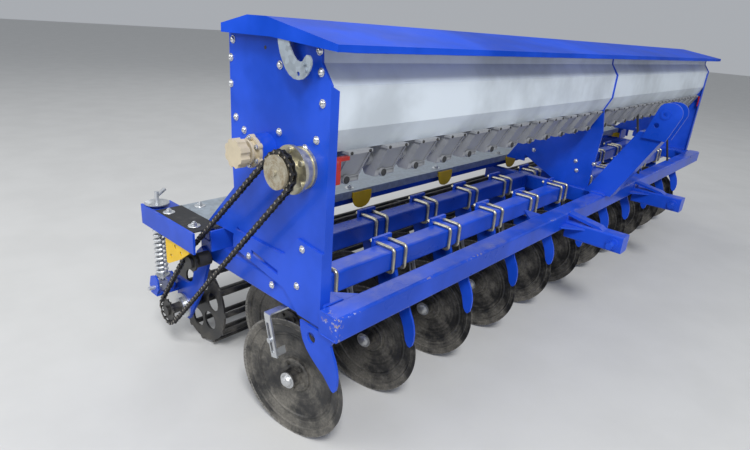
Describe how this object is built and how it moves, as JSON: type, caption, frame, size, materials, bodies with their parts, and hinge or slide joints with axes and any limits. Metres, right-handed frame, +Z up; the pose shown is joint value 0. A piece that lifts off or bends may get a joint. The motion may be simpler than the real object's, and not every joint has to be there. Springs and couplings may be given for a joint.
{
  "type": "mounted seed drill with disc coulters and a cage roller",
  "caption": "Mounted grain seed drill: blue frame and lid, long split hopper over a row of seed meters, two ranks of dished soil discs and a rear cage roller.",
  "frame": {"origin": "middle of the footprint, on the ground under the centre of the bounding box", "axes": "+X across the machine, with the chain drive on the -X side; +Y to the rear, away from the tractor; +Z up"},
  "size_m": [4.26, 1.358, 1.308],
  "materials": {
    "blue_paint": "satin",
    "hopper_sheet": "satin",
    "zinc": "satin",
    "galvanised": "satin",
    "meter_plastic": "matte",
    "chain_steel": "matte",
    "black_steel": "matte",
    "cream_plastic": "matte",
    "rubber_mat": "matte",
    "yellow_paint": "satin",
    "red_lens": "gloss",
    "disc_steel": "matte"
  },
  "bodies": {
    "frame": {"front_bar": "blue_paint", "side_members": "blue_paint", "cross_tubes": "blue_paint", "rear_tube": "blue_paint", "end_plates": "blue_paint", "middle_plate": "blue_paint", "hopper_left": "hopper_sheet", "hopper_right": "hopper_sheet", "seed_meters": "meter_plastic", "drive_housing": "zinc", "drive_chain": "chain_steel", "chain_idler": "black_steel", "rate_knob": "cream_plastic", "footboard": "galvanised", "board_mats": "rubber_mat", "outriggers": "blue_paint", "roller_springs": "zinc", "roller_arms": "blue_paint", "yellow_brackets": "yellow_paint", "mast": "blue_paint", "link_brackets": "blue_paint", "link_pins": "zinc", "horn_plates": "blue_paint", "front_legs": "blue_paint", "rear_legs": "blue_paint", "tube_u_bolts": "zinc", "disc_scrapers": "zinc", "reflectors": "red_lens", "lid_hinges": "blue_paint", "roller_bearings": "zinc", "spring_rods": "zinc", "stay_rods": "black_steel", "middle_member": "blue_paint"},
    "lid": {"lid": "blue_paint", "lid_hooks": "zinc"},
    "feed_shaft": {"feed_shaft": "zinc"},
    "cage_roller": {"cage_roller": "black_steel"},
    "front_disc_1": {"front_disc_1": "disc_steel"},
    "front_disc_2": {"front_disc_2": "disc_steel"},
    "front_disc_3": {"front_disc_3": "disc_steel"},
    "front_disc_4": {"front_disc_4": "disc_steel"},
    "front_disc_5": {"front_disc_5": "disc_steel"},
    "front_disc_6": {"front_disc_6": "disc_steel"},
    "front_disc_7": {"front_disc_7": "disc_steel"},
    "front_disc_8": {"front_disc_8": "disc_steel"},
    "front_disc_9": {"front_disc_9": "disc_steel"},
    "front_disc_10": {"front_disc_10": "disc_steel"},
    "front_disc_11": {"front_disc_11": "disc_steel"},
    "rear_disc_1": {"rear_disc_1": "disc_steel"},
    "rear_disc_2": {"rear_disc_2": "disc_steel"},
    "rear_disc_3": {"rear_disc_3": "disc_steel"},
    "rear_disc_4": {"rear_disc_4": "disc_steel"},
    "rear_disc_5": {"rear_disc_5": "disc_steel"},
    "rear_disc_6": {"rear_disc_6": "disc_steel"},
    "rear_disc_7": {"rear_disc_7": "disc_steel"},
    "rear_disc_8": {"rear_disc_8": "disc_steel"},
    "rear_disc_9": {"rear_disc_9": "disc_steel"},
    "rear_disc_10": {"rear_disc_10": "disc_steel"}
  },
  "joints": [
    {"name": "lid_hinge", "type": "hinge", "parent": "frame", "child": "lid", "pos_m": [0, 0.147, 1.262], "axis": [-1, 0, 0], "range_deg": [0, 95]},
    {"name": "cage_roller_turn", "type": "hinge", "parent": "frame", "child": "cage_roller", "pos_m": [0, 0.489, 0.19], "axis": [1, 0, 0], "continuous": true},
    {"name": "feed_shaft_turn", "type": "hinge", "parent": "frame", "child": "feed_shaft", "pos_m": [0, -0.219, 0.926], "axis": [1, 0, 0], "continuous": true},
    {"name": "front_disc_1_turn", "type": "hinge", "parent": "frame", "child": "front_disc_1", "pos_m": [-1.98, -0.183, 0.212], "axis": [0.9848, 0.1736, 0], "continuous": true},
    {"name": "front_disc_2_turn", "type": "hinge", "parent": "frame", "child": "front_disc_2", "pos_m": [-1.624, -0.183, 0.212], "axis": [0.9848, 0.1736, 0], "continuous": true},
    {"name": "front_disc_3_turn", "type": "hinge", "parent": "frame", "child": "front_disc_3", "pos_m": [-1.268, -0.183, 0.212], "axis": [0.9848, 0.1736, 0], "continuous": true},
    {"name": "front_disc_4_turn", "type": "hinge", "parent": "frame", "child": "front_disc_4", "pos_m": [-0.912, -0.183, 0.212], "axis": [0.9848, 0.1736, 0], "continuous": true},
    {"name": "front_disc_5_turn", "type": "hinge", "parent": "frame", "child": "front_disc_5", "pos_m": [-0.556, -0.183, 0.212], "axis": [0.9848, 0.1736, 0], "continuous": true},
    {"name": "front_disc_6_turn", "type": "hinge", "parent": "frame", "child": "front_disc_6", "pos_m": [-0.2, -0.183, 0.212], "axis": [0.9848, 0.1736, 0], "continuous": true},
    {"name": "front_disc_7_turn", "type": "hinge", "parent": "frame", "child": "front_disc_7", "pos_m": [0.156, -0.183, 0.212], "axis": [0.9848, 0.1736, 0], "continuous": true},
    {"name": "front_disc_8_turn", "type": "hinge", "parent": "frame", "child": "front_disc_8", "pos_m": [0.512, -0.183, 0.212], "axis": [0.9848, 0.1736, 0], "continuous": true},
    {"name": "front_disc_9_turn", "type": "hinge", "parent": "frame", "child": "front_disc_9", "pos_m": [0.868, -0.183, 0.212], "axis": [0.9848, 0.1736, 0], "continuous": true},
    {"name": "front_disc_10_turn", "type": "hinge", "parent": "frame", "child": "front_disc_10", "pos_m": [1.224, -0.183, 0.212], "axis": [0.9848, 0.1736, 0], "continuous": true},
    {"name": "front_disc_11_turn", "type": "hinge", "parent": "frame", "child": "front_disc_11", "pos_m": [1.58, -0.183, 0.212], "axis": [0.9848, 0.1736, 0], "continuous": true},
    {"name": "rear_disc_1_turn", "type": "hinge", "parent": "frame", "child": "rear_disc_1", "pos_m": [-1.802, 0.07, 0.212], "axis": [0.9848, 0.1736, 0], "continuous": true},
    {"name": "rear_disc_2_turn", "type": "hinge", "parent": "frame", "child": "rear_disc_2", "pos_m": [-1.446, 0.07, 0.212], "axis": [0.9848, 0.1736, 0], "continuous": true},
    {"name": "rear_disc_3_turn", "type": "hinge", "parent": "frame", "child": "rear_disc_3", "pos_m": [-1.09, 0.07, 0.212], "axis": [0.9848, 0.1736, 0], "continuous": true},
    {"name": "rear_disc_4_turn", "type": "hinge", "parent": "frame", "child": "rear_disc_4", "pos_m": [-0.734, 0.07, 0.212], "axis": [0.9848, 0.1736, 0], "continuous": true},
    {"name": "rear_disc_5_turn", "type": "hinge", "parent": "frame", "child": "rear_disc_5", "pos_m": [-0.378, 0.07, 0.212], "axis": [0.9848, 0.1736, 0], "continuous": true},
    {"name": "rear_disc_6_turn", "type": "hinge", "parent": "frame", "child": "rear_disc_6", "pos_m": [-0.022, 0.07, 0.212], "axis": [0.9848, 0.1736, 0], "continuous": true},
    {"name": "rear_disc_7_turn", "type": "hinge", "parent": "frame", "child": "rear_disc_7", "pos_m": [0.334, 0.07, 0.212], "axis": [0.9848, 0.1736, 0], "continuous": true},
    {"name": "rear_disc_8_turn", "type": "hinge", "parent": "frame", "child": "rear_disc_8", "pos_m": [0.69, 0.07, 0.212], "axis": [0.9848, 0.1736, 0], "continuous": true},
    {"name": "rear_disc_9_turn", "type": "hinge", "parent": "frame", "child": "rear_disc_9", "pos_m": [1.046, 0.07, 0.212], "axis": [0.9848, 0.1736, 0], "continuous": true},
    {"name": "rear_disc_10_turn", "type": "hinge", "parent": "frame", "child": "rear_disc_10", "pos_m": [1.402, 0.07, 0.212], "axis": [0.9848, 0.1736, 0], "continuous": true}
  ],
  "couplings": [
    {"joint": "feed_shaft_turn", "follows": "cage_roller_turn", "ratio": 1}
  ]
}
